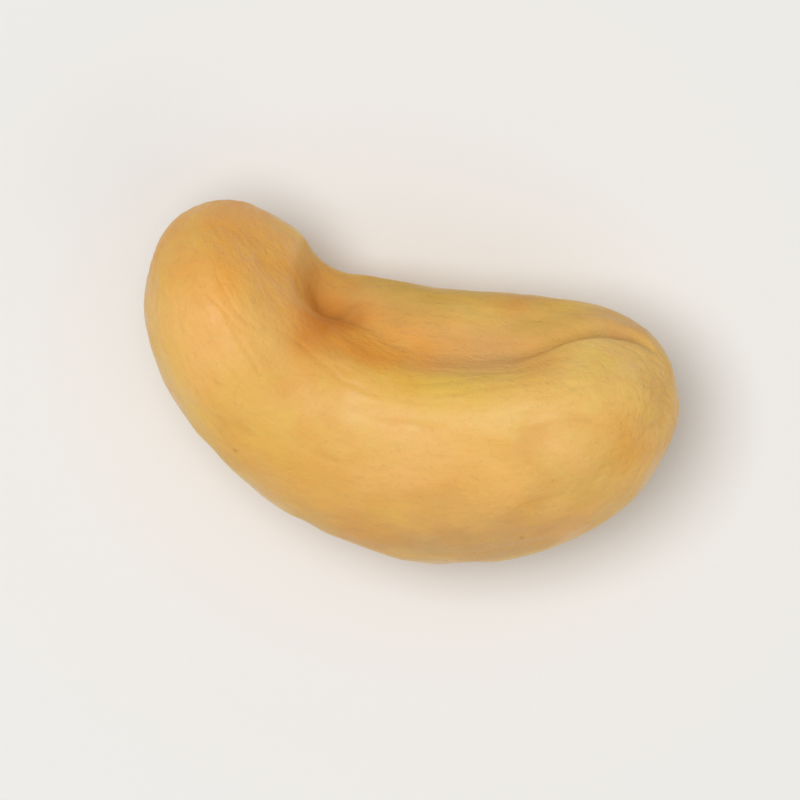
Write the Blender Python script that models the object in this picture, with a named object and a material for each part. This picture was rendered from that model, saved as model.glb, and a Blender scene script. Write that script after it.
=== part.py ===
"""A roasted cashew kernel, one whole nut, lying on a flat surface.

Metres, +Z up. The origin is on the surface under the middle of the kernel.
+X runs along the kernel from its hooked end to its blunt end, and its hollow edge faces +Y.
The kernel grew as one piece, so it is one closed solid: two seed leaves, side by side, meet in a
groove along the hollow edge. It lies rolled a little onto its back, so that the groove shows from above.
"""

import math
from collections import namedtuple

import bmesh
import bpy
import numpy as np
from mathutils import Matrix, Vector
from mathutils.geometry import interpolate_bezier

MM = 0.001

# The outline in the plane of the bend, in millimetres: four smooth knots, from the hooked tip under the belly
# to the blunt tip and back over the mouth of the hollow. Each has its place, the way the outline runs through
# it in degrees, and the lengths of its handles behind and ahead.
Knot = namedtuple("Knot", "place heading behind ahead")
HOOK = Knot((-11.2, 7.2), -140, 3.7, 4.7)
BELLY = Knot((2.0, -5.9), 0, 9.9, 6.7)
SNOUT = Knot((12.1, 4.6), 110, 4.0, 4.8)
MOUTH = Knot((-2.0, 5.6), 184, 6.0, 4.2)

# Half the thickness across the two seed leaves, in millimetres, the share of the length over which each end
# rounds off, and the share by which the upper leaf is fuller than the lower one
THICK_HOOK = 5.1
THICK_BELLY = 5.85
THICK_SNOUT = 4.9
HOOK_ROUNDING = 0.16
SNOUT_ROUNDING = 0.18
LEAF_DIFFERENCE = 0.03

# Gentle swells, as on anything grown: their height as a share of the section, and for each of two waves how
# fast it runs along the kernel and around it, and its shift, in radians
UNEVENNESS = 0.014
SWELLS = ((9, 2, 0), (14, -3, 1))

# The lips and the broad groove between them, with depths in millimetres and places as shares of the length.
# The groove opens where the hook bends and closes before the blunt end.
LIP_FULLNESS = 0.4
GROOVE_DEPTH = 1.3
GROOVE_OPENS = (0.32, 0.54)
GROOVE_CLOSES = (0.62, 0.82)
UPPER_SLOPE_ANGLE = math.radians(31)
LOWER_SLOPE_ANGLE = math.radians(26)

# The pit where the hook bends over the groove, and the fold that runs from it across the lower leaf: the depth
# of each, its place along the kernel, its reach towards the hook and towards the blunt end, its angle and its
# reach around
Dimple = namedtuple("Dimple", "depth place hook_reach snout_reach angle half_angle")
PIT = Dimple(1.2, 0.395, 0.04, 0.065, math.radians(-12), math.radians(20))
FOLD = Dimple(0.8, 0.39, 0.04, 0.06, math.radians(-34), math.radians(28))

# The seam at the bottom of the groove: it runs straight over the hook, on the side of the lower leaf, bows
# towards the upper leaf in the middle and turns back towards the lower leaf at the blunt end
SEAM_BOW = math.radians(14.5)
SEAM_BOWS = (0.42, 0.6)
SEAM_STRAIGHTENS = (0.6, 0.85)
HOOK_SEAM_TURN = math.radians(26)
HOOK_SEAM_STRAIGHT = 0.2
SNOUT_SEAM_TURN = math.radians(24)

# The narrow cleft along the seam, from the pit to the blunt end, which is nearly filled in the middle
CLEFT_DEPTH = 0.45
CLEFT_HALF_ANGLE = math.radians(6)
CLEFT_OPENS = (0.32, 0.42)
CLEFT_CLOSES = (0.8, 0.96)
CLEFT_FILLING = 0.8
CLEFT_FILLED_AT = 0.56
CLEFT_FILLED_REACH = 0.14

# The mesh, with its spokes crowded towards the groove, and how the kernel lies
RINGS = 48
SPOKES = 56
SPOKE_CROWDING = 0.45
ROLL = math.radians(36)
FLAT_DEPTH = 0.4 * MM


def clear_scene():
    for obj in list(bpy.data.objects):
        bpy.data.objects.remove(obj)


def handle(knot, length):
    """The point this far along the outline's direction from a knot."""
    heading = math.radians(knot.heading)
    return Vector((*knot.place, 0)) + length * Vector((math.cos(heading), math.sin(heading), 0))


def arc(start, end):
    """The four Bezier points of the outline between two knots."""
    return handle(start, 0), handle(start, start.ahead), handle(end, -end.behind), handle(end, 0)


def chain(arcs):
    """The points of two arcs end to end, one for each ring of the mesh and one more."""
    first, second = (interpolate_bezier(*points, RINGS // 2 + 1) for points in arcs)
    return np.array([point.xy for point in first[:-1] + second])


def bump(value, middle, reach):
    return np.exp(-(((value - middle) / reach) ** 2))


def rounded(along):
    """Rises from 0 at each tip to 1, as a round end does."""
    hook = np.sqrt(1 - bump(along, 0, HOOK_ROUNDING))
    snout = np.sqrt(1 - bump(along, 1, SNOUT_ROUNDING))
    return hook * snout


def half_thickness(along):
    """Half the thickness at each share of the length, fullest in the middle."""
    ends = THICK_HOOK * (1 - along) + THICK_SNOUT * along
    extra = THICK_BELLY - (THICK_HOOK + THICK_SNOUT) / 2
    return (ends + extra * np.sin(np.pi * along)) * rounded(along)


def rise(value, start, end):
    """Rises smoothly from 0 at the start to 1 at the end."""
    share = np.clip((value - start) / (end - start), 0, 1)
    return share * share * (3 - 2 * share)


def window(along, opens, closes):
    """Rises to 1 where something opens and falls back to 0 where it closes."""
    return rise(along, *opens) * (1 - rise(along, *closes))


def hollowed(along, angle, dimple):
    """How deep a dimple is at each place."""
    reach = np.where(along > dimple.place, dimple.snout_reach, dimple.hook_reach)
    return dimple.depth * bump(along, dimple.place, reach) * bump(angle, dimple.angle, dimple.half_angle)


def seam_angle(along):
    """Where around the kernel the two leaves meet. The angle is 0 at the mouth."""
    hook_turn = HOOK_SEAM_TURN * (1 - rise(along, HOOK_SEAM_STRAIGHT, SEAM_BOWS[1]))
    return SEAM_BOW * window(along, SEAM_BOWS, SEAM_STRAIGHTENS) - hook_turn - SNOUT_SEAM_TURN * along**3


def groove(along, angle):
    """How far the surface drops below the section's outline, in millimetres."""
    opening = window(along, GROOVE_OPENS, GROOVE_CLOSES)
    seam = seam_angle(along)
    slope = np.where(angle > seam, UPPER_SLOPE_ANGLE, LOWER_SLOPE_ANGLE)
    trough = GROOVE_DEPTH * opening * bump(angle, seam, slope)
    filling = 1 - CLEFT_FILLING * bump(along, CLEFT_FILLED_AT, CLEFT_FILLED_REACH)
    cleft = CLEFT_DEPTH * window(along, CLEFT_OPENS, CLEFT_CLOSES) * filling
    cleft *= bump(angle, seam, CLEFT_HALF_ANGLE)
    return trough + cleft + hollowed(along, angle, PIT) + hollowed(along, angle, FOLD)


def unevenness(along, angle):
    """How much each point of a section is moved out or in, as a factor."""
    waves = sum(np.sin(run * along + turns * angle + shift) for run, turns, shift in SWELLS)
    return 1 + UNEVENNESS * np.sin(np.pi * along) * waves


def kernel_points(along, angle, back, hollow):
    """Points of the surface in millimetres, with the bend in XY and the thickness along Z."""
    width = np.linalg.norm(hollow - back, axis=1)
    at_tip = width == 0
    inward = (hollow - back) / np.where(at_tip, 1, width)[:, None]
    lips = 1 + LIP_FULLNESS * np.sin(angle) ** 2 * (1 + np.cos(angle)) / 2
    swell = unevenness(along, angle)
    reach = width / 2 * np.cos(angle) * lips * swell - groove(along, angle)
    side = np.sin(angle) * (1 + LEAF_DIFFERENCE * np.sin(angle))
    points = np.zeros((len(along), 3))
    points[:, :2] = (back + hollow) / 2 + inward * reach[:, None]
    points[:, 2] = half_thickness(along) * side * swell
    return points


def kernel_mesh():
    """A sphere whose poles are the two tips, with its rings moved onto the kernel's sections."""
    mesh = bmesh.new()
    bmesh.ops.create_uvsphere(mesh, u_segments=SPOKES, v_segments=RINGS, radius=1)
    at = np.array([vertex.co for vertex in mesh.verts])
    ring = np.rint(np.arccos(np.clip(at[:, 2], -1, 1)) / np.pi * RINGS).astype(int)
    turn = np.arctan2(at[:, 1], at[:, 0])
    angle = turn - SPOKE_CROWDING * np.sin(turn)
    back = chain((arc(HOOK, BELLY), arc(BELLY, SNOUT)))
    hollow = chain((arc(SNOUT, MOUTH), arc(MOUTH, HOOK)))[::-1]
    points = kernel_points(ring / RINGS, angle, back[ring], hollow[ring])
    for vertex, point in zip(mesh.verts, points):
        vertex.co = Vector(point) * MM
    return mesh


def lay_down(mesh):
    """Rolls the kernel onto its back, sets it on z = 0 over the origin and cuts its small resting flat."""
    bmesh.ops.rotate(mesh, verts=mesh.verts, matrix=Matrix.Rotation(ROLL, 3, "X"))
    low = [min(vertex.co[axis] for vertex in mesh.verts) for axis in range(3)]
    high = [max(vertex.co[axis] for vertex in mesh.verts) for axis in range(3)]
    shift = Vector((-(low[0] + high[0]) / 2, -(low[1] + high[1]) / 2, -low[2] - FLAT_DEPTH))
    bmesh.ops.translate(mesh, verts=mesh.verts, vec=shift)
    cut = bmesh.ops.bisect_plane(
        mesh,
        geom=list(mesh.verts) + list(mesh.edges) + list(mesh.faces),
        plane_co=(0, 0, 0),
        plane_no=(0, 0, -1),
        clear_outer=True,
    )
    rim = [item for item in cut["geom_cut"] if isinstance(item, bmesh.types.BMEdge)]
    bmesh.ops.edgeloop_fill(mesh, edges=rim)
    bmesh.ops.recalc_face_normals(mesh, faces=mesh.faces)


def roasted_material():
    material = bpy.data.materials.new("roasted_kernel")
    material.use_nodes = True
    shader = material.node_tree.nodes["Principled BSDF"]
    shader.inputs["Base Color"].default_value = (0.72, 0.43, 0.14, 1)
    shader.inputs["Roughness"].default_value = 0.45
    shader.inputs["Metallic"].default_value = 0
    return material


def main():
    clear_scene()
    collection = bpy.data.collections.new("roasted_cashew_nut")
    bpy.context.scene.collection.children.link(collection)
    mesh = kernel_mesh()
    lay_down(mesh)
    data = bpy.data.meshes.new("kernel")
    mesh.to_mesh(data)
    mesh.free()
    data.materials.append(roasted_material())
    data.shade_smooth()
    kernel = bpy.data.objects.new("kernel", data)
    collection.objects.link(kernel)


main()
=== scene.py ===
# %% [markdown]
# # A roasted cashew kernel, seen from close above
#
# A cashew is a good first lesson in natural form: it has no straight line, no edge and no part to
# assemble, yet everybody sees at once when its bend or its groove is wrong. The plan is this:
#
# 1. load the solid model of the kernel, which fixes its size, its place and how it lies;
# 2. rebuild the same form as a fine mesh with Geometry Nodes, from the same few driving sizes, and let
#    the tree add what the solid is too coarse for: wrinkles, dents, pinholes and the hairline seam;
# 3. colour it by where each point is on the kernel: golden on the flanks, orange in the groove;
# 4. lay it on a pale floor in soft light and look straight down on it.

import math
from collections import namedtuple

import bpy
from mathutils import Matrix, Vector


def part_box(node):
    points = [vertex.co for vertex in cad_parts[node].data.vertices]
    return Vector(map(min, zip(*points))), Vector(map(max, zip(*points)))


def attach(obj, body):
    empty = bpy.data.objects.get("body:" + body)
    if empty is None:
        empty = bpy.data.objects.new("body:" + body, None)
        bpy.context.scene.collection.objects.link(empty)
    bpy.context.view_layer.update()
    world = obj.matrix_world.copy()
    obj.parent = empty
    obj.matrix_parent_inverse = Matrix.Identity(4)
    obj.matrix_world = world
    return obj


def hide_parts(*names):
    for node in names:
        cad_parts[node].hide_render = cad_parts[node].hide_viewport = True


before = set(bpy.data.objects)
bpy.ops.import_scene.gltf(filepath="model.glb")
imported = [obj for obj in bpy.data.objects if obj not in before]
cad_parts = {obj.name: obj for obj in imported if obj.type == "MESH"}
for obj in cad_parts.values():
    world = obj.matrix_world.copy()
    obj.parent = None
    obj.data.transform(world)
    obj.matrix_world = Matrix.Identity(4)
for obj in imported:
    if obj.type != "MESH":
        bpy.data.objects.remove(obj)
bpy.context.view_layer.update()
low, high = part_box("kernel")
print("kernel box, mm:", [round(1000 * side, 2) for side in high - low])

# %% [markdown]
# ## Expressions that make nodes
#
# Both the shape and the colour of the kernel are formulas. Clicked together by hand they would be some
# hundreds of nodes, and nobody could read them. Python can write them as arithmetic instead: a small
# class holds one output of a node, and each operator on it adds the node that does that sum. A sum of
# plain numbers is worked out in Python and costs no node at all.

# %% A node tree
def pick(sockets, key):
    """The socket with this number, identifier or name."""
    if isinstance(key, int):
        return sockets[key]
    return next((socket for socket in sockets if socket.identifier == key), None) or sockets[key]


class Graph:
    """A node tree, with one method that adds any node to it."""

    def __init__(self, tree):
        self.tree = tree

    def node(self, kind, settings=None, inputs=None, output=0):
        """Adds a node, sets it up, then fills its sockets. A wire is linked, anything else is a value."""
        node = self.tree.nodes.new(kind)
        for name, value in (settings or {}).items():
            if name == "stops":
                self.set_stops(node.color_ramp, value)
            else:
                setattr(node, name, value)
        for key, value in (inputs or {}).items():
            self.feed(pick(node.inputs, key), value)
        return Wire(self, pick(node.outputs, output))

    def feed(self, socket, value):
        """Links a wire to a socket, or sets the socket's own value."""
        if isinstance(value, Wire):
            self.tree.links.new(value.socket, socket)
        elif socket.type == "RGBA":
            socket.default_value = (*value, 1)
        elif socket.type == "VECTOR" and not is_vector(value):
            socket.default_value = (value, value, value)
        else:
            socket.default_value = value

    @staticmethod
    def set_stops(ramp, stops):
        """Gives a colour ramp its positions and colours."""
        while len(ramp.elements) < len(stops):
            ramp.elements.new(1)
        for element, (position, colour) in zip(ramp.elements, stops):
            element.position = position
            element.color = (*colour, 1)


print("a tree takes any node through one method")


# %% A wire in the tree
def is_vector(item):
    """Whether this holds three numbers, not one."""
    if isinstance(item, Wire):
        return item.socket.type in ("VECTOR", "RGBA")
    return isinstance(item, (tuple, Vector))


class Wire:
    """One output of a node. Arithmetic on it adds the nodes that do the sum."""

    def __init__(self, graph, socket):
        self.graph = graph
        self.socket = socket

    def math(self, operation, *others):
        """A Math node, also one that has no sign of its own in Python, such as a sine."""
        inputs = dict(enumerate((self, *others)))
        return self.graph.node("ShaderNodeMath", {"operation": operation}, inputs)

    def vector_math(self, operation, *others, output=0):
        inputs = dict(enumerate((self, *others)))
        return self.graph.node("ShaderNodeVectorMath", {"operation": operation}, inputs, output)

    def combined(self, operation, first, second):
        """A sum of this wire and a number or another wire, one number or three at a time."""
        inputs = {0: first, 1: second}
        kind = "ShaderNodeVectorMath" if is_vector(first) or is_vector(second) else "ShaderNodeMath"
        return self.graph.node(kind, {"operation": operation}, inputs)

    def __add__(self, other):
        return self.combined("ADD", self, other)

    def __radd__(self, other):
        return self.combined("ADD", other, self)

    def __sub__(self, other):
        return self.combined("SUBTRACT", self, other)

    def __rsub__(self, other):
        return self.combined("SUBTRACT", other, self)

    def __mul__(self, other):
        return self.combined("MULTIPLY", self, other)

    def __rmul__(self, other):
        return self.combined("MULTIPLY", other, self)

    def __truediv__(self, other):
        return self.combined("DIVIDE", self, other)

    def __rtruediv__(self, other):
        return self.combined("DIVIDE", other, self)

    def __neg__(self):
        return self * -1

    def __gt__(self, other):
        return self.combined("GREATER_THAN", self, other)

    def parts(self):
        """The x, y and z of a vector."""
        split = self.graph.node("ShaderNodeSeparateXYZ", inputs={0: self}).socket.node
        return [Wire(self.graph, output) for output in split.outputs]


print("a wire adds the nodes of its own sums")


# %% Shorthands for formulas
def sin(wire):
    return wire.math("SINE")


def cos(wire):
    return wire.math("COSINE")


def bump(value, middle, reach):
    """A smooth hill of height 1 at the middle, nearly gone two reaches away."""
    off = (value - middle) / reach
    return (-(off * off)).math("EXPONENT")


def rise(value, start, end):
    """Rises smoothly from 0 at the start to 1 at the end."""
    settings = {"interpolation_type": "SMOOTHSTEP"}
    return value.graph.node("ShaderNodeMapRange", settings, {0: value, 1: start, 2: end})


def mix(kind, factor, first, second):
    """The first where the factor is 0, the second where it is 1. The kind is Float, Vector or Color."""
    data_type = {"Float": "FLOAT", "Vector": "VECTOR", "Color": "RGBA"}[kind]
    inputs = {"Factor_Float": factor, f"A_{kind}": first, f"B_{kind}": second}
    return factor.graph.node("ShaderNodeMix", {"data_type": data_type}, inputs, f"Result_{kind}")


def vector(graph, x, y, z):
    """The vector with these three parts."""
    return graph.node("ShaderNodeCombineXYZ", inputs={"X": x, "Y": y, "Z": z})


print("formulas can be written")

# %% [markdown]
# Two textures make all that looks random here. Noise is cloudy. Cells are scattered points, each with the
# space about it, and make dots such as pinholes and freckles. Both give the same value at the same place
# every time, so a seed or a start only shifts the place before it is read.

# %% Noise and cells
def noise(place, width, detail=2.0, roughness=0.5, distortion=0.0):
    """Cloudy noise about 0.5. The width is that of one cloud, in millimetres."""
    inputs = {"Vector": place, "Scale": 1 / width, "Detail": detail, "Roughness": roughness,
              "Distortion": distortion}
    return place.graph.node("ShaderNodeTexNoise", {"noise_dimensions": "3D"}, inputs)


Noise = namedtuple("Noise", "start width detail roughness")


def pattern(place, kind):
    """Noise of one kind. Its start is a shift in millimetres, so that no two kinds fall together."""
    return noise(place + kind.start, kind.width, kind.detail, kind.roughness)


def cells(place, width):
    """How far the middle of the nearest of many random cells is, in cells, and that cell's number."""
    inputs = {"Vector": place, "Scale": 1 / width}
    node = place.graph.node("ShaderNodeTexVoronoi", inputs=inputs).socket.node
    number = Wire(place.graph, node.outputs["Color"]).parts()[0]
    return Wire(place.graph, node.outputs["Distance"]), number


print("two textures, noise and cells")

# %% [markdown]
# ## The form of the kernel
#
# A cashew kernel is two seed leaves pressed together and bent like a kidney. Cut across anywhere it is
# nearly round, with a groove where the leaves meet on the hollow side. So its whole form follows from
# one outline in the plane of the bend, the thickness across the leaves, and the depth of the groove.
#
# The outline is four smooth knots with handles, as in a drawing program: the hooked tip, the belly, the
# blunt snout and the mouth of the hollow. Sculpting would give a nice nut too, but these sizes are the
# ones that the solid was made from, and from the same sizes comes the same nut, only finer.

# %% The outline and the section, in millimetres
Knot = namedtuple("Knot", "place heading behind ahead")
OUTLINE = {
    "Hook": Knot((-11.2, 7.2), -140, 3.7, 4.7),
    "Belly": Knot((2.0, -5.9), 0, 9.9, 6.7),
    "Snout": Knot((12.1, 4.6), 110, 4.0, 4.8),
    "Mouth": Knot((-2.0, 5.6), 184, 6.0, 4.2),
}
SECTION = {
    "Hook half thickness": 5.1,
    "Belly half thickness": 5.85,
    "Snout half thickness": 4.9,
    "Hook rounding": 0.16,
    "Snout rounding": 0.18,
    "Leaf difference": 0.03,
    "Unevenness": 0.014,
    "Lip fullness": 0.4,
    "Roll": math.radians(36),
}
SWELLS = ((9, 2, 0), (14, -3, 1))


def knot_inputs(name, knot):
    """A knot's place and the ends of its two handles, as three vectors."""
    heading = math.radians(knot.heading)
    direction = Vector((math.cos(heading), math.sin(heading), 0))
    place = Vector((*knot.place, 0))
    return {
        name: place,
        name + " ahead": place + knot.ahead * direction,
        name + " behind": place - knot.behind * direction,
    }


outline_inputs = {}
for name, knot in OUTLINE.items():
    outline_inputs.update(knot_inputs(name, knot))
print(len(outline_inputs), "points of the outline,", len(SECTION), "sizes of the section")

# %% [markdown]
# Between the leaves runs the groove. It opens where the hook bends over it, in a deep pit, and closes
# before the blunt end. From the pit a fold crosses the lower leaf, as across the inside of a bent finger.
# The seam at the bottom keeps to the lower leaf over the hook, bows to the upper one in the middle and
# goes back at the blunt end. From the pit on it is a narrow cleft, which is nearly filled in the middle.
# Places are shares of the kernel's own length, depths are millimetres.

# %% The groove, the pit, the fold and the cleft
GROOVE = {
    "Groove depth": 1.3,
    "Groove opens from": 0.32,
    "Groove open at": 0.54,
    "Groove closes from": 0.62,
    "Groove closed at": 0.82,
    "Upper slope angle": math.radians(31),
    "Lower slope angle": math.radians(26),
    "Pit depth": 1.2,
    "Pit place": 0.395,
    "Pit hook reach": 0.04,
    "Pit snout reach": 0.065,
    "Pit angle": math.radians(-12),
    "Pit half angle": math.radians(20),
    "Fold depth": 0.8,
    "Fold place": 0.39,
    "Fold hook reach": 0.04,
    "Fold snout reach": 0.06,
    "Fold angle": math.radians(-34),
    "Fold half angle": math.radians(28),
    "Seam bow": math.radians(14.5),
    "Seam bow opens from": 0.42,
    "Seam bow open at": 0.6,
    "Seam bow closes from": 0.6,
    "Seam bow closed at": 0.85,
    "Hook seam turn": math.radians(26),
    "Hook seam straight to": 0.2,
    "Snout seam turn": math.radians(24),
    "Cleft depth": 0.45,
    "Cleft half angle": math.radians(6),
    "Cleft opens from": 0.32,
    "Cleft open at": 0.42,
    "Cleft closes from": 0.8,
    "Cleft closed at": 0.96,
    "Cleft filling": 0.8,
    "Cleft filled at": 0.56,
    "Cleft filled reach": 0.14,
}
print(len(GROOVE), "sizes of the groove")

# %% [markdown]
# ## Relief that the solid is too coarse for
#
# Dry roasting shrinks the kernel a little. Its smooth flesh then shows long shallow wrinkles that run
# with the leaves, thin furrows, a few dents, some pinholes, and a hairline where the two leaves meet on
# the back. A bump in the material could only shade them, and a close view would show that the outline
# stays smooth, so they are real here. All of them lie below the outline, so the kernel keeps its size.

# %% The sizes of the relief, in millimetres
RELIEF = {
    "Dent depth": 0.13,
    "Dent width": 3.6,
    "Wrinkle depth": 0.1,
    "Wrinkle width": 1.3,
    "Furrow depth": 0.035,
    "Furrow width": 2.6,
    "Furrow half width": 0.04,
    "Pinhole depth": 0.05,
    "Pinhole spacing": 1.9,
    "Pinhole radius": 0.17,
    "Back seam depth": 0.1,
    "Back seam half width": 0.2,
    "Seed": 17.0,
}
WRINKLE_STRETCH = 2.2
UNROLLED_LENGTH = 26.0
UNROLLED_RADIUS = 5.8
RINGS = 300
SPOKES = 320
SPOKE_CROWDING = 0.35
MM = 0.001
print(2 * SPOKES * (RINGS - 1), "triangles")

# %% [markdown]
# ## The tree, step by step
#
# A Geometry Nodes tree starts from a sphere whose poles become the two tips. Its latitude is then the
# place along the kernel, and its longitude the angle around it, which is 0 at the mouth of the hollow.
# Every formula below is one plain function of those two numbers. The spokes of the sphere are crowded
# towards the groove, where the form turns most.

# %% The outline in the plane of the bend
def arc_point(share, start, ahead, behind, end):
    """A point of a Bezier arc: its four points, weighted so that the weights always add up to 1."""
    rest = 1 - share
    near = start * (rest * rest * rest) + ahead * (3 * rest * rest * share)
    return near + behind * (3 * rest * share * share) + end * (share * share * share)


def side_point(along, arcs):
    """A point of one side of the outline, which is two arcs end to end."""
    first = arc_point((2 * along).math("MINIMUM", 1), *arcs[0])
    second = arc_point((2 * along - 1).math("MAXIMUM", 0), *arcs[1])
    return mix("Vector", along > 0.5, first, second)


def outline_sides(along, given):
    """The points of the back and of the hollow side that face each other at this place along."""
    back = (
        [given[name] for name in ("Hook", "Hook ahead", "Belly behind", "Belly")],
        [given[name] for name in ("Belly", "Belly ahead", "Snout behind", "Snout")],
    )
    hollow = (
        [given[name] for name in ("Hook", "Hook behind", "Mouth ahead", "Mouth")],
        [given[name] for name in ("Mouth", "Mouth behind", "Snout ahead", "Snout")],
    )
    return side_point(along, back), side_point(along, hollow)


print("the outline is two Bezier arcs a side")


# %% The thickness across the leaves
def rounded(along, given):
    """Rises from 0 at each tip to 1, as a round end does."""
    hook = (1 - bump(along, 0, given["Hook rounding"])).math("SQRT")
    snout = (1 - bump(along, 1, given["Snout rounding"])).math("SQRT")
    return hook * snout


def half_thickness(along, given):
    """Half the thickness at each place along, fullest in the middle and round at both tips."""
    hook_half, belly_half, snout_half = (
        given[name + " half thickness"] for name in ("Hook", "Belly", "Snout")
    )
    ends = hook_half * (1 - along) + snout_half * along
    extra = belly_half - (hook_half + snout_half) * 0.5
    return (ends + extra * sin(along * math.pi)) * rounded(along, given)


def swell(along, angle, given):
    """Gentle swells, as on anything grown, as a factor."""
    waves = [sin(along * run + angle * turns + shift) for run, turns, shift in SWELLS]
    return 1 + given["Unevenness"] * sin(along * math.pi) * (waves[0] + waves[1])


print("the section is round at both tips and uneven by", SECTION["Unevenness"])


# %% The groove between them
def window(name, along, given):
    """Rises to 1 where the groove, the bow or the cleft opens and falls back to 0 where it closes."""
    closed = rise(along, given[name + " closes from"], given[name + " closed at"])
    return rise(along, given[name + " opens from"], given[name + " open at"]) * (1 - closed)


def seam_angle(along, given):
    """Where the leaves meet: towards the upper leaf in the middle, the lower one at both tips."""
    straightened = rise(along, given["Hook seam straight to"], given["Seam bow open at"])
    hook_turn = given["Hook seam turn"] * (1 - straightened)
    snout_turn = given["Snout seam turn"] * along * along * along
    return given["Seam bow"] * window("Seam bow", along, given) - hook_turn - snout_turn


def dimple(name, along, angle, given):
    """The pit or the fold: a hollow with its own place, angle and reach both ways."""
    place = given[name + " place"]
    reach = mix("Float", (along - place) > 0, given[name + " hook reach"], given[name + " snout reach"])
    across = bump(angle, given[name + " angle"], given[name + " half angle"])
    return given[name + " depth"] * bump(along, place, reach) * across


def groove_parts(along, angle, given):
    """How deep the groove with its pit and its fold is here, and how deep the cleft of the seam."""
    opening = window("Groove", along, given)
    seam = seam_angle(along, given)
    slope = mix("Float", (angle - seam) > 0, given["Lower slope angle"], given["Upper slope angle"])
    trough = given["Groove depth"] * opening * bump(angle, seam, slope)
    filled = given["Cleft filling"] * bump(along, given["Cleft filled at"], given["Cleft filled reach"])
    across = bump(angle, seam, given["Cleft half angle"])
    cleft = given["Cleft depth"] * window("Cleft", along, given) * (1 - filled) * across
    return trough + dimple("Pit", along, angle, given) + dimple("Fold", along, angle, given), cleft


print("the groove is", GROOVE["Groove depth"], "mm deep")


# %% A point of the smooth form
def kernel_point(along, angle, drop, given):
    """The point of the surface at this place along and around, in the plane of the bend."""
    back, hollow = outline_sides(along, given)
    across = hollow - back
    half_width = across.vector_math("LENGTH", output="Value") * 0.5
    lips = 1 + given["Lip fullness"] * sin(angle) * sin(angle) * (1 + cos(angle)) * 0.5
    uneven = swell(along, angle, given)
    reach = half_width * cos(angle) * lips * uneven - drop
    side = half_thickness(along, given) * sin(angle) * (1 + given["Leaf difference"] * sin(angle))
    in_plane = (back + hollow) * 0.5 + across.vector_math("NORMALIZE") * reach
    return in_plane + vector(in_plane.graph, 0, 0, side * uneven)


def unroll(along, angle, given):
    """The kernel straightened into a round-ended rod, in millimetres, so that grain can run along it."""
    radius = UNROLLED_RADIUS * rounded(along, given)
    return vector(along.graph, along * UNROLLED_LENGTH, cos(angle) * radius, sin(angle) * radius)


print("one formula gives every point of the skin")

# %% [markdown]
# ## Wrinkles, furrows, dents and pinholes
#
# Noise read in the kernel's own space makes dents, which are as broad as they are long. Noise read on
# the straightened kernel and drawn out along it makes wrinkles that follow the bend. A furrow is where
# such noise passes its middle value, which makes thin winding lines. Pinholes sit in the middle of random
# cells, in some of them only. The hairline runs along the back of the straightened kernel and fades where
# that gets thin, at both tips. A pair of levels says between which values of a noise something sets in.

# %% The relief
WINDING_START = 30.0
DENT_LEVELS = (0.42, 0.72)
PINHOLE_LEAST = 0.5
PINHOLE_FLOOR = 0.2
PINHOLE_CHANCE = 0.35
TIP_FADE = (-2.0, -6.0)
FAINT_WIDTH = 5.0
FAINT_LEVELS = (0.2, 0.5)


def wrinkles(unrolled, given):
    """Long shallow waves, and furrows where a second noise passes its middle value."""
    squeezed = (unrolled + given["Seed"]) * (1 / WRINKLE_STRETCH, 1.0, 1.0)
    long_waves = noise(squeezed, given["Wrinkle width"], detail=3.0, distortion=0.8)
    winding = noise(squeezed + WINDING_START, given["Furrow width"], distortion=0.4)
    furrow = bump(winding, 0.5, given["Furrow half width"])
    return given["Wrinkle depth"] * long_waves + given["Furrow depth"] * furrow


def dents(place, given):
    """Shallow hollows wherever a broad noise is high."""
    broad = noise(place + given["Seed"], given["Dent width"], detail=1.0, roughness=0.4)
    return given["Dent depth"] * rise(broad, *DENT_LEVELS)


def pinholes(place, given):
    """Round holes in the middle of some cells, with the size that the cell's number gives."""
    off, number = cells(place + given["Seed"], given["Pinhole spacing"])
    size = PINHOLE_LEAST + number * (1 - PINHOLE_LEAST)
    radius = given["Pinhole radius"] / given["Pinhole spacing"] * size
    hole = 1 - rise(off, radius * PINHOLE_FLOOR, radius)
    return given["Pinhole depth"] * hole * (number > 1 - PINHOLE_CHANCE)


def back_seam(unrolled, given):
    """The hairline where the leaves meet on the back, fainter here and there and at both tips."""
    along, from_middle, around = unrolled.parts()
    line = bump(around, 0.0, given["Back seam half width"]) * rise(from_middle, *TIP_FADE)
    return given["Back seam depth"] * line * rise(noise(unrolled, FAINT_WIDTH), *FAINT_LEVELS)


print("four kinds of relief, the deepest", max(RELIEF["Dent depth"], RELIEF["Wrinkle depth"]), "mm")

# %% [markdown]
# ## Building the tree
#
# The tree stores four facts with each point before it moves on: where the point is on the straightened
# kernel, how deep in the groove, how deep in the seam and how deep in the relief. The material reads them
# later, so a colour can follow the groove without any painting by hand.
#
# At the end the form is rolled onto its back, scaled to metres and set under the top of the solid. What
# would dip below the floor is pressed flat against it, as the solid's own resting flat is.

# %% Inputs, attributes and steps of the tree
def add_inputs(tree, values):
    """One named input of the tree for each size."""
    for name, value in values.items():
        kind = "NodeSocketVector" if is_vector(value) else "NodeSocketFloat"
        if isinstance(value, int):
            kind = "NodeSocketInt"
        tree.interface.new_socket(name, in_out="INPUT", socket_type=kind).default_value = value


def store(shape, name, value):
    """Keeps a fact with each point of the mesh, under a name."""
    data_type = "FLOAT_VECTOR" if is_vector(value) else "FLOAT"
    inputs = {"Geometry": shape, "Name": name, "Value": value}
    return shape.graph.node("GeometryNodeStoreNamedAttribute", {"data_type": data_type}, inputs)


def stored(graph, name, data_type="FLOAT"):
    """A fact that was kept with each point."""
    return graph.node("GeometryNodeInputNamedAttribute", {"data_type": data_type}, {"Name": name})


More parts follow.
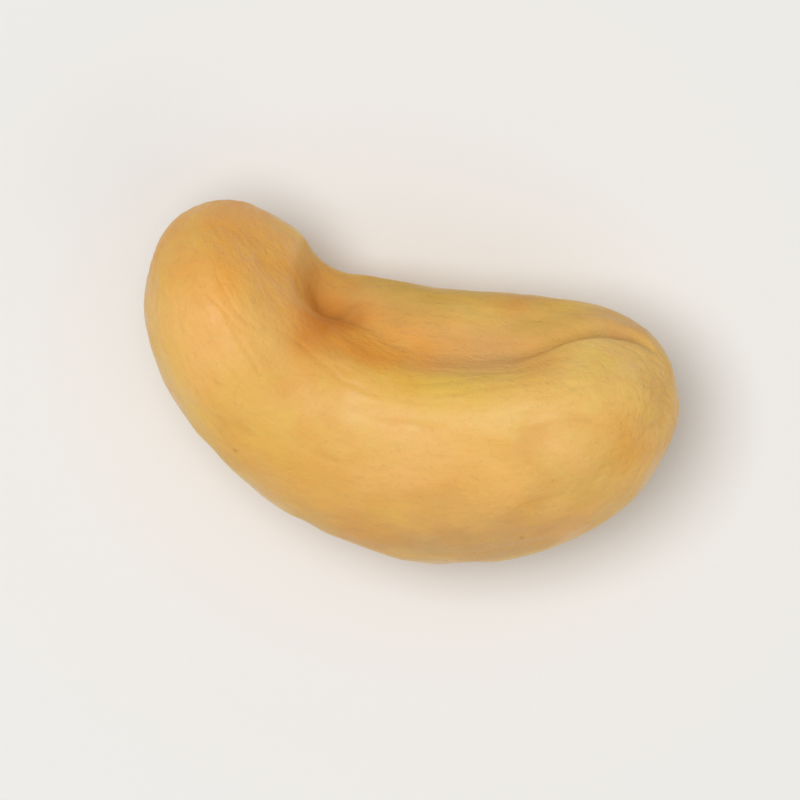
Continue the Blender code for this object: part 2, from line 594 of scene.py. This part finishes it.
def step(shape, kind, **inputs):
    """The next step of the mesh: a node that takes it in and gives it out changed."""
    named = {name.replace("_", " "): value for name, value in inputs.items()}
    return shape.graph.node(kind, inputs={0: shape, **named})


print("a step takes the mesh in and gives it out changed")


# %% The form, bent from a sphere
def bent_sphere(graph, given):
    """The smooth kernel in millimetres, in the plane of its bend, with its facts stored."""
    shape = graph.node(
        "GeometryNodeMeshUVSphere", inputs={"Segments": given["Spokes"], "Rings": given["Rings"]}
    )
    x, y, z = graph.node("GeometryNodeInputPosition").parts()
    along = (x * x + y * y).math("SQRT").math("ARCTAN2", z) / math.pi
    turn = y.math("ARCTAN2", x)
    angle = turn - SPOKE_CROWDING * sin(turn)
    groove, cleft = groove_parts(along, angle, given)
    shape = store(shape, "unrolled", unroll(along, angle, given))
    shape = store(shape, "groove", groove / given["Groove depth"])
    shape = store(shape, "seam", cleft / given["Cleft depth"])
    point = kernel_point(along, angle, groove + cleft, given)
    shape = step(shape, "GeometryNodeSetPosition", Position=point)
    return step(shape, "GeometryNodeFlipFaces")


def weathered(shape, given):
    """Sinks the relief into the smooth kernel, straight in at each point."""
    graph = shape.graph
    place = graph.node("GeometryNodeInputPosition")
    unrolled = stored(graph, "unrolled", "FLOAT_VECTOR")
    hairline = back_seam(unrolled, given)
    shape = store(shape, "seam", stored(graph, "seam") + hairline / given["Back seam depth"])
    depth = wrinkles(unrolled, given) + dents(place, given) + pinholes(place, given) + hairline
    shape = store(shape, "relief", depth)
    inward = graph.node("GeometryNodeInputNormal") * -stored(graph, "relief")
    return step(shape, "GeometryNodeSetPosition", Offset=inward)


print("a sphere bends into the kernel")


# %% The kernel laid down
PRESS_SOFTNESS = 0.1 * MM


def laid_down(shape, given):
    """Rolled onto its back, in metres, set under the solid's top and pressed flat where it rests."""
    graph = shape.graph
    here = graph.node("GeometryNodeInputPosition")
    rolled = graph.node(
        "ShaderNodeVectorRotate", {"rotation_type": "X_AXIS"}, {"Vector": here, "Angle": given["Roll"]}
    )
    shape = step(shape, "GeometryNodeSetPosition", Position=rolled * MM)
    box = graph.node("GeometryNodeBoundBox", inputs={0: shape}).socket.node
    box_low, box_high = (Wire(graph, box.outputs[name]) for name in ("Min", "Max"))
    centre = ((box_low + box_high) * 0.5).parts()
    top = vector(graph, centre[0], centre[1], box_high.parts()[2])
    x, y, z = (graph.node("GeometryNodeInputPosition") - top + given["Top of the kernel"]).parts()
    pressed = vector(graph, x, y, z.math("SMOOTH_MAX", 0.0, PRESS_SOFTNESS))
    return step(shape, "GeometryNodeSetPosition", Position=pressed)


def kernel_tree(values, material):
    """The whole tree, from the sphere to the finished kernel with its material."""
    tree = bpy.data.node_groups.new("kernel_form", "GeometryNodeTree")
    add_inputs(tree, values)
    tree.interface.new_socket("Geometry", in_out="OUTPUT", socket_type="NodeSocketGeometry")
    graph = Graph(tree)
    entry = tree.nodes.new("NodeGroupInput")
    given = {name: Wire(graph, entry.outputs[name]) for name in values}
    shape = laid_down(weathered(bent_sphere(graph, given), given), given)
    shape = step(shape, "GeometryNodeSetShadeSmooth")
    shape = step(shape, "GeometryNodeRealizeInstances")
    shape = step(shape, "GeometryNodeSetMaterial", Material=material)
    leave = tree.nodes.new("NodeGroupOutput")
    tree.links.new(shape.socket, leave.inputs["Geometry"])
    print("the kernel's tree has", len(tree.nodes), "nodes and", len(values), "named inputs")
    return tree


# %% [markdown]
# ## The colour of roasted flesh
#
# Raw cashews are ivory. In the roaster sugar and protein brown, first where the flesh is thin or stands
# out. So one nut goes from straw over gold to amber, with soft borders, and its groove holds the deepest
# orange. Colours here are given as on a screen, 0 to 255, and turned into the linear values that nodes
# use. They are laid over each other in this order: clouds, the floor of the groove, patches in known
# places, and last the fine marks.

# %% The colours
def on_screen(red, green, blue):
    """The linear values of a colour given as on a screen."""
    return tuple(((value / 255 + 0.055) / 1.055) ** 2.4 for value in (red, green, blue))


STRAW = on_screen(236, 196, 112)
GOLD = on_screen(234, 185, 98)
HONEY = on_screen(230, 169, 80)
PEACH = on_screen(243, 187, 110)
OLIVE = on_screen(204, 167, 80)
LEMON = on_screen(234, 198, 90)
AMBER = on_screen(214, 146, 66)
ORANGE = on_screen(232, 157, 62)
SAFFRON = on_screen(246, 172, 66)
ROSE = on_screen(222, 167, 106)
EMBER = on_screen(236, 146, 42)
CINNAMON = on_screen(212, 116, 10)
RUST = on_screen(150, 82, 22)
BISCUIT = on_screen(200, 151, 92)
FRECKLE = on_screen(150, 92, 38)
print("straw in linear values:", [round(value, 3) for value in STRAW])

# %% [markdown]
# The ground is straw, gold and honey, mixed by broad clouds of noise and by finer mottles that run along
# the kernel. For those the places along it are squeezed before the noise is read, which draws it out.
# Here and there the ground is tinted peach or lemon, so that no two places are quite alike.

# %% The ground
CLOUDS = Noise(start=3.0, width=4.5, detail=2.0, roughness=0.5)
CLOUD_SHARE = 0.65
MOTTLES = Noise(start=11.0, width=1.6, detail=3.0, roughness=0.55)
MOTTLE_SQUEEZE = (0.6, 1.0, 1.0)
GROUND = ((0.36, STRAW), (0.5, GOLD), (0.66, HONEY))
TINTS = Noise(start=33.0, width=2.4, detail=2.0, roughness=0.5)
PEACH_LEVELS = (0.53, 0.68)
LEMON_LEVELS = (0.47, 0.32)
TINT_SHARE = 0.5


def clouded(place, unrolled):
    """Straw, gold and honey, tinted peach where one more noise is high and lemon where it is low."""
    clouds = pattern(place, CLOUDS)
    mottle = pattern(unrolled * MOTTLE_SQUEEZE, MOTTLES)
    level = clouds * CLOUD_SHARE + mottle * (1 - CLOUD_SHARE)
    colour = place.graph.node("ShaderNodeValToRGB", {"stops": GROUND}, {0: level})
    tint = pattern(place, TINTS)
    colour = mix("Color", rise(tint, *PEACH_LEVELS) * TINT_SHARE, colour, PEACH)
    return mix("Color", rise(tint, *LEMON_LEVELS) * TINT_SHARE, colour, LEMON)


print("the ground mixes", len(GROUND), "colours in clouds", CLOUDS.width, "mm wide")

# %% [markdown]
# In the groove the colour follows the depth that the tree stored, measured in depths of the plain groove.
# The floor is orange near the hook and turns to a dusty rose along the middle. The pit is deeper than the
# groove itself, so it gets one more layer, the orange of an ember.

# %% The floor of the groove
ROSE_ALONG = (0.45, 0.6)
FLOOR_DEPTHS = (0.3, 0.95)
FLOOR_SHARE = 0.75
PIT_DEPTHS = (1.0, 1.7)
PIT_SHARE = 0.5


def grooved(colour, unrolled, groove):
    """The orange and rose floor over the ground, and the ember of the pit over both."""
    along = unrolled.parts()[0] / UNROLLED_LENGTH
    floor = mix("Color", rise(along, *ROSE_ALONG), ORANGE, ROSE)
    colour = mix("Color", rise(groove, *FLOOR_DEPTHS) * FLOOR_SHARE, colour, floor)
    return mix("Color", rise(groove, *PIT_DEPTHS) * PIT_SHARE, colour, EMBER)


print("the floor of the groove covers", FLOOR_SHARE, "of the ground")

# %% [markdown]
# Over both come patches in known places: peach on the flank of the upper leaf, a lemon strip along its
# rim, ember and saffron on the slope beside the pit, where the two strongest saffron patches are painted
# light on its shaded part, cinnamon there as painted shade on the flank of the hook, a thin rust line as
# a painted shadow of the crease and as skin left in the seam, and olive along the lip of the lower leaf.
# A patch is a soft hill on the straightened kernel. It has a share of the colour, a place along the
# kernel, an angle around it in degrees, and a reach each way in millimetres.

# %% Patches
Patch = namedtuple("Patch", "colour share along angle reach_along reach_around")
PATCHES = (
    # the hook
    Patch(PEACH, 0.8, 0.19, 80, 2.6, 2.6),
    Patch(ORANGE, 0.7, 0.13, 0, 4.2, 4.2),
    Patch(SAFFRON, 0.65, 0.27, 14, 3.0, 3.0),
    Patch(SAFFRON, 0.35, 0.18, 35, 2.0, 2.0),
    Patch(LEMON, 0.5, 0.34, 88, 1.8, 1.8),
    Patch(PEACH, 0.5, 0.34, 50, 1.6, 1.4),
    Patch(STRAW, 0.5, 0.3, 42, 1.9, 1.7),
    Patch(AMBER, 0.5, 0.2, -120, 3.0, 3.0),
    # the flank and the rim of the upper leaf
    Patch(PEACH, 0.7, 0.62, 66, 3.0, 2.0),
    Patch(AMBER, 0.4, 0.68, 38, 1.8, 1.2),
    Patch(STRAW, 0.6, 0.69, 58, 1.8, 1.4),
    Patch(SAFFRON, 0.25, 0.66, 81, 1.6, 1.4),
    Patch(STRAW, 0.6, 0.59, 48, 2.4, 0.9),
    Patch(BISCUIT, 0.75, 0.59, 112, 5.0, 1.9),
    Patch(HONEY, 0.6, 0.42, 96, 3.0, 1.8),
    Patch(LEMON, 0.8, 0.57, 36, 2.6, 1.3),
    # the pit and the slopes beside it
    Patch(ROSE, 0.8, 0.47, -26, 2.0, 1.5),
    Patch(EMBER, 0.8, 0.49, 22, 1.8, 1.7),
    # painted light: these two saffron patches brighten the slope beside the pit, which lies in shade
    Patch(SAFFRON, 0.85, 0.515, 10, 1.6, 1.2),
    Patch(SAFFRON, 0.9, 0.48, 7, 1.2, 0.8),
    Patch(AMBER, 0.4, 0.47, 36, 1.5, 1.0),
    Patch(PEACH, 0.6, 0.46, -20, 1.2, 0.8),
    Patch(PEACH, 0.4, 0.55, 1, 1.8, 0.9),
    Patch(CINNAMON, 0.7, 0.4, 6, 1.1, 2.6),
    # painted shade: this cinnamon darkens the flank of the hook beside the pit, where shade falls
    Patch(CINNAMON, 0.5, 0.42, 18, 1.1, 1.5),
    # painted shadow: a thin rust line along the crease by the pit, which also stands for skin left in the
    # seam
    Patch(RUST, 0.35, 0.435, -14, 1.0, 0.6),
    # the blunt end
    Patch(ORANGE, 0.45, 0.85, 68, 1.4, 2.0),
    Patch(PEACH, 0.5, 0.78, 114, 1.6, 1.4),
    Patch(STRAW, 0.75, 0.8, 45, 2.6, 2.2),
    Patch(OLIVE, 0.4, 0.79, 90, 1.8, 1.4),
    Patch(STRAW, 0.35, 0.87, 45, 1.2, 1.6),
    # the lip and the flank of the lower leaf
    Patch(OLIVE, 0.6, 0.72, -10, 1.2, 1.2),
    Patch(OLIVE, 0.8, 0.56, -32, 4.2, 1.8),
    Patch(AMBER, 0.6, 0.66, -32, 0.9, 1.2),
    Patch(BISCUIT, 0.6, 0.82, -24, 2.4, 1.6),
    Patch(PEACH, 0.5, 0.7, -110, 3.5, 3.0),
    # the back
    Patch(AMBER, 0.5, 0.5, 180, 4.0, 2.5),
)
print(len(PATCHES), "patches")

# %% [markdown]
# Each place is shifted by noise before the patches are laid, which breaks the outline of every one.

# %% Laying the patches
DRIFT_START = 21.0
DRIFT_WIDTH = 2.2
PATCH_DRIFT = 1.6


def rod_place(along, angle):
    """Where on the straightened kernel a place along it and around it is."""
    hook = 1 - math.exp(-((along / SECTION["Hook rounding"]) ** 2))
    snout = 1 - math.exp(-(((1 - along) / SECTION["Snout rounding"]) ** 2))
    radius = UNROLLED_RADIUS * math.sqrt(hook * snout)
    return Vector((along * UNROLLED_LENGTH, radius * math.cos(angle), radius * math.sin(angle)))


def patch_strength(unrolled, patch):
    """How strong a patch is here: its share in the middle, nearly gone two reaches away."""
    middle = rod_place(patch.along, math.radians(patch.angle))
    reach = Vector((patch.reach_along, patch.reach_around, patch.reach_around))
    off = (unrolled - middle) / reach
    return patch.share * (-off.vector_math("DOT_PRODUCT", off, output="Value")).math("EXPONENT")


def patched(colour, place, unrolled):
    """The patches over the colour so far, each shifted a little by noise."""
    inputs = {"Vector": place + DRIFT_START, "Scale": 1 / DRIFT_WIDTH, "Detail": 2.0}
    drift = place.graph.node("ShaderNodeTexNoise", inputs=inputs, output="Color") - (0.5, 0.5, 0.5)
    drifted = unrolled + drift * (2 * PATCH_DRIFT)
    for patch in PATCHES:
        colour = mix("Color", patch_strength(drifted, patch), colour, patch.colour)
    return colour


print("patches are shifted by up to", PATCH_DRIFT, "mm")

# %% [markdown]
# Last come the fine marks. The seam is a little brown, because shreds of the brown skin stay in it when
# the kernel is rubbed clean, and the same brown is also painted shade in the seam. The sunk places of the
# relief get painted shade, an amber that darkens them. Freckles lie in loose groups, and fibres and grains
# finer than any relief give the flesh its texture close up.

# %% Fine marks
SEAM_DEPTHS = (0.4, 1.0)
SEAM_STAIN_AND_SHADE_SHARE = 0.2
SUNK_SHADE_SHARE = 0.3
FRECKLE_START = 5.0
FRECKLE_SPACING = 1.3
FRECKLE_HEART = 0.02
FRECKLE_RADIUS = 0.17
FRECKLE_CHANCE = 0.5
FRECKLE_GROUPS = Noise(start=8.0, width=4.0, detail=2.0, roughness=0.5)
GROUP_LEVELS = (0.5, 0.62)
FRECKLE_SHARE = 0.35
FIBRES = Noise(start=50.0, width=0.5, detail=3.0, roughness=0.6)
FIBRE_SQUEEZE = (0.35, 1.0, 1.0)
FIBRE_LEVELS = (0.5, 0.75)
FIBRE_SHARE = 0.14
GRAINS = Noise(start=60.0, width=0.3, detail=2.0, roughness=0.6)
GRAIN_LEVELS = (0.55, 0.75)
GRAIN_SHARE = 0.16


def freckles(place):
    """Dots in the middle of some cells, with the size that the cell's number gives, in loose groups."""
    off, number = cells(place + FRECKLE_START, FRECKLE_SPACING)
    dot = 1 - rise(off, FRECKLE_HEART, number * FRECKLE_RADIUS)
    return dot * (number > 1 - FRECKLE_CHANCE) * rise(pattern(place, FRECKLE_GROUPS), *GROUP_LEVELS)


def marked(colour, place, unrolled, seam, depth):
    """The stain and painted shade of the seam, painted shade in the hollows of the relief, freckles,
    fibres and grains.
    """
    # the seam's brown is skin left in it and also painted shade in the seam
    colour = mix("Color", rise(seam, *SEAM_DEPTHS) * SEAM_STAIN_AND_SHADE_SHARE, colour, RUST)
    # painted shade: the deepest hollows of the relief are darkened with amber
    deepest = RELIEF["Wrinkle depth"] + RELIEF["Dent depth"]
    colour = mix("Color", rise(depth, 0.5 * deepest, deepest) * SUNK_SHADE_SHARE, colour, AMBER)
    colour = mix("Color", freckles(place) * FRECKLE_SHARE, colour, FRECKLE)
    fibres = pattern(unrolled * FIBRE_SQUEEZE, FIBRES)
    colour = mix("Color", rise(fibres, *FIBRE_LEVELS) * FIBRE_SHARE, colour, AMBER)
    grains = pattern(place, GRAINS)
    return mix("Color", rise(grains, *GRAIN_LEVELS) * GRAIN_SHARE, colour, BISCUIT)


print("freckles are spaced by about", FRECKLE_SPACING, "mm")

# %% [markdown]
# ## What is left to a bump
#
# Grains, fibres and pores at most a tenth of a millimetre high or deep are too fine even for this mesh.
# Only they are left to the shading: a bump turns the light as if the flesh rose and sank by that much.

# %% The finest relief
PORE_START = 15.0
PORE_SPACING = 0.45
PORE_RADII = (0.05, 0.35)
PORE_DEPTH = 0.2
BUMP_GRAINS = Noise(start=0.0, width=0.55, detail=5.0, roughness=0.65)
BUMP_FIBRES = Noise(start=0.0, width=0.4, detail=3.0, roughness=0.6)
BUMP_FIBRE_SQUEEZE = (0.4, 1.0, 1.0)
BUMP_FIBRE_SHARE = 0.5
BUMP_HEIGHT = 0.1 * MM


def fine_relief(graph, place, unrolled):
    """The normal that grains, fibres and pores give the surface."""
    fibres = pattern(unrolled * BUMP_FIBRE_SQUEEZE, BUMP_FIBRES)
    grain = pattern(place, BUMP_GRAINS) + BUMP_FIBRE_SHARE * fibres
    pores = 1 - rise(cells(place + PORE_START, PORE_SPACING)[0], *PORE_RADII)
    inputs = {"Strength": 1.0, "Distance": BUMP_HEIGHT, "Height": grain - PORE_DEPTH * pores}
    return graph.node("ShaderNodeBump", inputs=inputs, output="Normal")


print("pores are spaced by about", PORE_SPACING, "mm")

# %% [markdown]
# ## Satin, with a trace of oil
#
# Dry-roasted flesh is satin. It hardly shines by itself, but its own oil lies on it as a thin coat,
# thicker in some places than in others. The coat is left out in the groove, because its slopes are seen
# at a low angle and a shine there would wash out their colour. Roughness follows the same slow noise and
# rises in the groove. Light also goes a millimetre into the flesh and comes out warmer, which softens
# every shadow.

# %% The shader
OIL = Noise(start=70.0, width=3.0, detail=3.0, roughness=0.55)
OIL_LEVELS = (0.4, 0.65)
DRY_DEPTHS = (0.02, 0.2)
ROUGHNESS = 0.5
OILY_SMOOTHER = 0.14
DRY_ROUGHER = 0.1
COAT = 0.35
OILY_COAT = 0.25


def roasted_flesh():
    """The material of the kernel: its colour, its shine and its finest relief."""
    material = bpy.data.materials.new("roasted_flesh")
    material.use_nodes = True
    graph = Graph(material.node_tree)
    shader = material.node_tree.nodes["Principled BSDF"]

    def attribute(name, output="Fac"):
        return graph.node("ShaderNodeAttribute", {"attribute_name": name}, output=output)

    place = graph.node("ShaderNodeTexCoord", output="Object") / (MM, MM, MM)
    unrolled = attribute("unrolled", "Vector")
    groove, seam, depth = (attribute(name) for name in ("groove", "seam", "relief"))
    colour = patched(grooved(clouded(place, unrolled), unrolled, groove), place, unrolled)
    graph.feed(shader.inputs["Base Color"], marked(colour, place, unrolled, seam, depth))

    oily = rise(pattern(place, OIL), *OIL_LEVELS)
    dry = rise(groove, *DRY_DEPTHS)
    graph.feed(shader.inputs["Roughness"], ROUGHNESS - OILY_SMOOTHER * oily + DRY_ROUGHER * dry)
    graph.feed(shader.inputs["Coat Weight"], (COAT + OILY_COAT * oily) * (1 - dry))
    shader.inputs["Coat Roughness"].default_value = 0.4
    shader.inputs["Specular IOR Level"].default_value = 0.08
    shader.inputs["Subsurface Weight"].default_value = 0.2
    shader.inputs["Subsurface Radius"].default_value = (1.0, 0.45, 0.18)
    shader.inputs["Subsurface Scale"].default_value = 0.0012
    graph.feed(shader.inputs["Normal"], fine_relief(graph, place, unrolled))
    print("roasted flesh has", len(material.node_tree.nodes), "nodes")
    return material


# %% [markdown]
# ## The kernel, made
#
# The tree runs once on an object that holds nothing else. Its result is copied into a plain mesh, which
# stands for the solid from here on, and the object with the tree goes away.

# %% The kernel
def run_tree(tree, values):
    """The tree's result as a plain mesh."""
    maker = bpy.data.objects.new("kernel_maker", bpy.data.meshes.new("kernel_maker"))
    bpy.context.scene.collection.objects.link(maker)
    form = maker.modifiers.new("form", "NODES")
    form.node_group = tree
    for item in tree.interface.items_tree:
        if item.in_out == "INPUT":
            value = values[item.name]
            form[item.identifier] = list(value) if is_vector(value) else value
    made = bpy.data.meshes.new_from_object(maker.evaluated_get(bpy.context.evaluated_depsgraph_get()))
    bpy.data.objects.remove(maker)
    return made


top_middle = Vector(((low.x + high.x) / 2, (low.y + high.y) / 2, high.z))
values = {**outline_inputs, **SECTION, **GROOVE, **RELIEF, "Rings": RINGS, "Spokes": SPOKES,
          "Top of the kernel": top_middle}
mesh = run_tree(kernel_tree(values, roasted_flesh()), values)
mesh.name = "roasted_kernel"
kernel = bpy.data.objects.new("roasted_kernel", mesh)
bpy.context.scene.collection.objects.link(kernel)
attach(kernel, "root")
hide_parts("kernel")
print(len(mesh.polygons), "faces, lowest point", min(vertex.co.z for vertex in mesh.vertices) / MM, "mm")

# %% [markdown]
# ## Floor, light and camera
#
# The kernel lies on a pale matt floor. A large soft light above it and a weaker one from the other side
# leave soft shadows, as daylight in a white room does. The camera looks straight down through a long
# lens, which hardly changes the kernel's shape, and is turned so that the kernel's length slants a little.

# %% The floor
FLOOR_HALF = 0.4
FLOOR_COLOUR = (0.86, 0.855, 0.84)
FLOOR_ROUGHNESS = 0.9


def pale_floor():
    """A square floor in the plane z = 0."""
    material = bpy.data.materials.new("pale_floor")
    material.use_nodes = True
    shader = material.node_tree.nodes["Principled BSDF"]
    shader.inputs["Base Color"].default_value = (*FLOOR_COLOUR, 1)
    shader.inputs["Roughness"].default_value = FLOOR_ROUGHNESS
    mesh = bpy.data.meshes.new("floor")
    corners = [(x * FLOOR_HALF, y * FLOOR_HALF, 0) for x, y in ((-1, -1), (1, -1), (1, 1), (-1, 1))]
    mesh.from_pydata(corners, [], [(0, 1, 2, 3)])
    mesh.materials.append(material)
    floor = bpy.data.objects.new("floor", mesh)
    bpy.context.scene.collection.objects.link(floor)
    print("floor", 2 * FLOOR_HALF, "m wide")


pale_floor()


# %% The light
SKY_COLOUR = (1, 0.99, 0.97)
SKY_STRENGTH = 0.42


def softbox(name, place, size, power):
    """A round soft light that faces the kernel."""
    light = bpy.data.lights.new(name, "AREA")
    light.shape = "DISK"
    light.size = size
    light.energy = power
    lamp = bpy.data.objects.new(name, light)
    lamp.location = place
    lamp.rotation_euler = (-Vector(place)).to_track_quat("-Z", "Y").to_euler()
    bpy.context.scene.collection.objects.link(lamp)
    print(name, power, "W")


softbox("key", place=(-0.08, 0.0, 0.42), size=0.22, power=1.0)
softbox("fill", place=(0.25, -0.20, 0.35), size=0.40, power=0.2)
world = bpy.data.worlds.new("studio")
world.use_nodes = True
sky = world.node_tree.nodes["Background"].inputs
sky["Color"].default_value = (*SKY_COLOUR, 1)
sky["Strength"].default_value = SKY_STRENGTH
bpy.context.scene.world = world
bpy.context.scene.view_settings.view_transform = "Standard"

# %% The camera
CAMERA_RISE = 0.6
CAMERA_TURN = math.radians(14)
FOCAL_LENGTH = 617
SENSOR_WIDTH = 36

lens = bpy.data.cameras.new("overhead")
lens.lens = FOCAL_LENGTH
lens.sensor_width = SENSOR_WIDTH
lens.clip_start = 0.01
camera = bpy.data.objects.new("overhead", lens)
camera.location = top_middle + Vector((0, 0, CAMERA_RISE))
camera.rotation_euler = (0, 0, CAMERA_TURN)
bpy.context.scene.collection.objects.link(camera)
bpy.context.scene.camera = camera
print("camera", round(camera.location.z, 3), "m above the floor")
